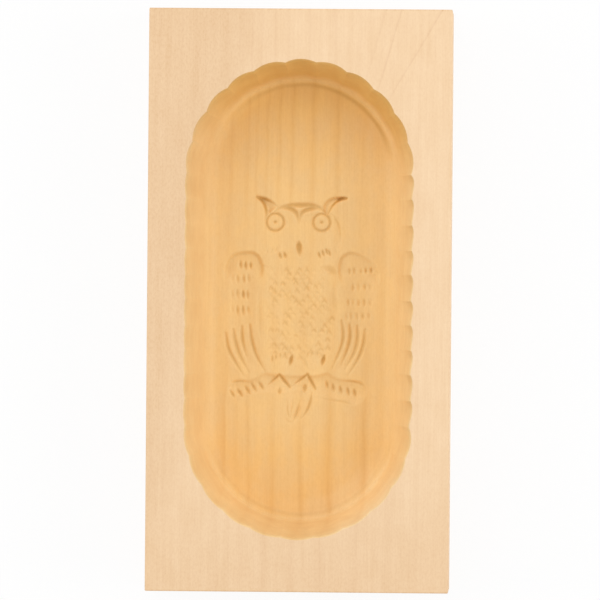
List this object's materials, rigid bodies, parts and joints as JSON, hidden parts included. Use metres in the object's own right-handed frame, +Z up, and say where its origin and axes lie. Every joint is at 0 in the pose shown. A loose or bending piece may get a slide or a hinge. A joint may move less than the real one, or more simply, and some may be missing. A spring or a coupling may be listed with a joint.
{
  "type": "butter mould",
  "caption": "Long wooden block with a round-ended, fluted recess carved in its face, for pressing butter into a patterned pat.",
  "frame": {"origin": "middle of the underside, which is flat and is what the mould rests on", "axes": "+Z up out of the mouth of the recess, +Y along the board towards the head of the carved figure, +X across it to the right as the figure is seen"},
  "size_m": [0.104, 0.2, 0.04],
  "materials": {
    "maple": "finely sanded bare maple, the recess burnished and lightly oiled"
  },
  "bodies": {
    "root": {"mould_block": "maple"}
  },
  "joints": []
}
